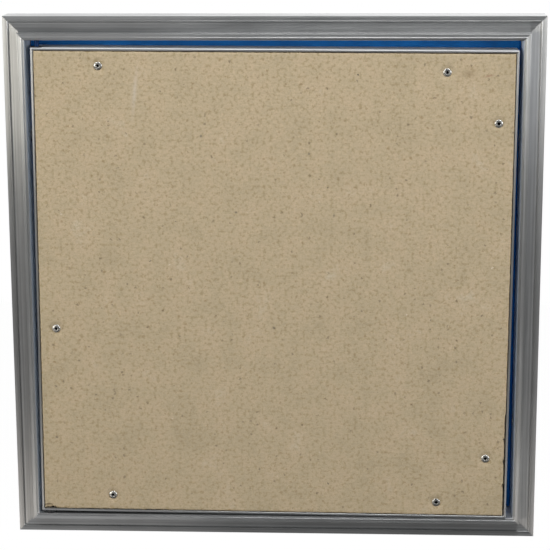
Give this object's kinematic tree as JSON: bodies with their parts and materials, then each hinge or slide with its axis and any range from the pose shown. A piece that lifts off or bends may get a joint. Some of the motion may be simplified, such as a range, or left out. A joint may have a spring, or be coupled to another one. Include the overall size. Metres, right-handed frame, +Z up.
{
  "type": "access panel",
  "caption": "Tileable access panel: aluminium frame with a hinged leaf that carries a riveted fibreboard insert, on corner pivots with sprung touch latches.",
  "frame": {"origin": "centre of the square frame, on the plane of its tile edge and of the board's front", "axes": "-Y out of the wall towards the viewer, +Z up, +X to the right"},
  "size_m": [0.4, 0.054, 0.4],
  "materials": {
    "frame_aluminium": "mill-finish extrusion, die lines along its length",
    "leaf_aluminium": "mill-finish extrusion",
    "board": "gypsum fibre board, sanded, brown fibre specks",
    "rivet_aluminium": "plain",
    "cleat_metal": "sawn extrusion",
    "screw_steel": "zinc plated",
    "strike_steel": "zinc plated",
    "pivot_steel": "black oxide",
    "bush_plastic": "black nylon",
    "latch_plastic": "moulded, fine grain",
    "plunger_plastic": "moulded nylon",
    "magnet_metal": "nickel plated",
    "spring_steel": "drawn wire",
    "seal_rubber": "blue foam rubber"
  },
  "bodies": {
    "frame": {"frame_bottom_rail": "frame_aluminium", "frame_cleat_screws": "screw_steel", "frame_corner_cleats": "cleat_metal", "frame_left_rail": "frame_aluminium", "frame_right_rail": "frame_aluminium", "frame_top_rail": "frame_aluminium", "latch_screws": "screw_steel", "lower_latch_cap": "latch_plastic", "lower_latch_housing": "latch_plastic", "lower_latch_spring": "spring_steel", "lower_pivot_bar": "pivot_steel", "lower_pivot_pin": "pivot_steel", "pivot_bar_screws": "screw_steel", "pivot_thrust_washer": "bush_plastic", "stop_seal_bottom": "seal_rubber", "stop_seal_left": "seal_rubber", "stop_seal_right": "seal_rubber", "stop_seal_top": "seal_rubber", "upper_latch_cap": "latch_plastic", "upper_latch_housing": "latch_plastic", "upper_latch_spring": "spring_steel", "upper_pivot_bar": "pivot_steel", "upper_pivot_pin": "pivot_steel"},
    "leaf": {"board_insert": "board", "board_rivets": "rivet_aluminium", "leaf_bottom_rail": "leaf_aluminium", "leaf_corner_cleats": "cleat_metal", "leaf_left_rail": "leaf_aluminium", "leaf_right_rail": "leaf_aluminium", "leaf_set_screws": "screw_steel", "leaf_top_rail": "leaf_aluminium", "lower_pivot_bush": "bush_plastic", "lower_strike_plate": "strike_steel", "upper_pivot_bush": "bush_plastic", "upper_strike_plate": "strike_steel"},
    "upper_plunger": {"upper_latch_plunger": "plunger_plastic", "upper_latch_magnet": "magnet_metal"},
    "lower_plunger": {"lower_latch_plunger": "plunger_plastic", "lower_latch_magnet": "magnet_metal"}
  },
  "joints": [
    {"name": "leaf_swing", "type": "hinge", "parent": "frame", "child": "leaf", "pos_m": [-0.1741, 0.0045, 0], "axis": [0, 0, -1], "range_deg": [0, 95]},
    {"name": "upper_latch_press", "type": "slide", "parent": "frame", "child": "upper_plunger", "axis": [0, 1, 0], "range_m": [0, 0.003], "stiffness_N_per_m": 400, "springref_m": -0.003, "deforming": ["upper_latch_spring"]},
    {"name": "lower_latch_press", "type": "slide", "parent": "frame", "child": "lower_plunger", "axis": [0, 1, 0], "range_m": [0, 0.003], "stiffness_N_per_m": 400, "springref_m": -0.003, "deforming": ["lower_latch_spring"]}
  ]
}
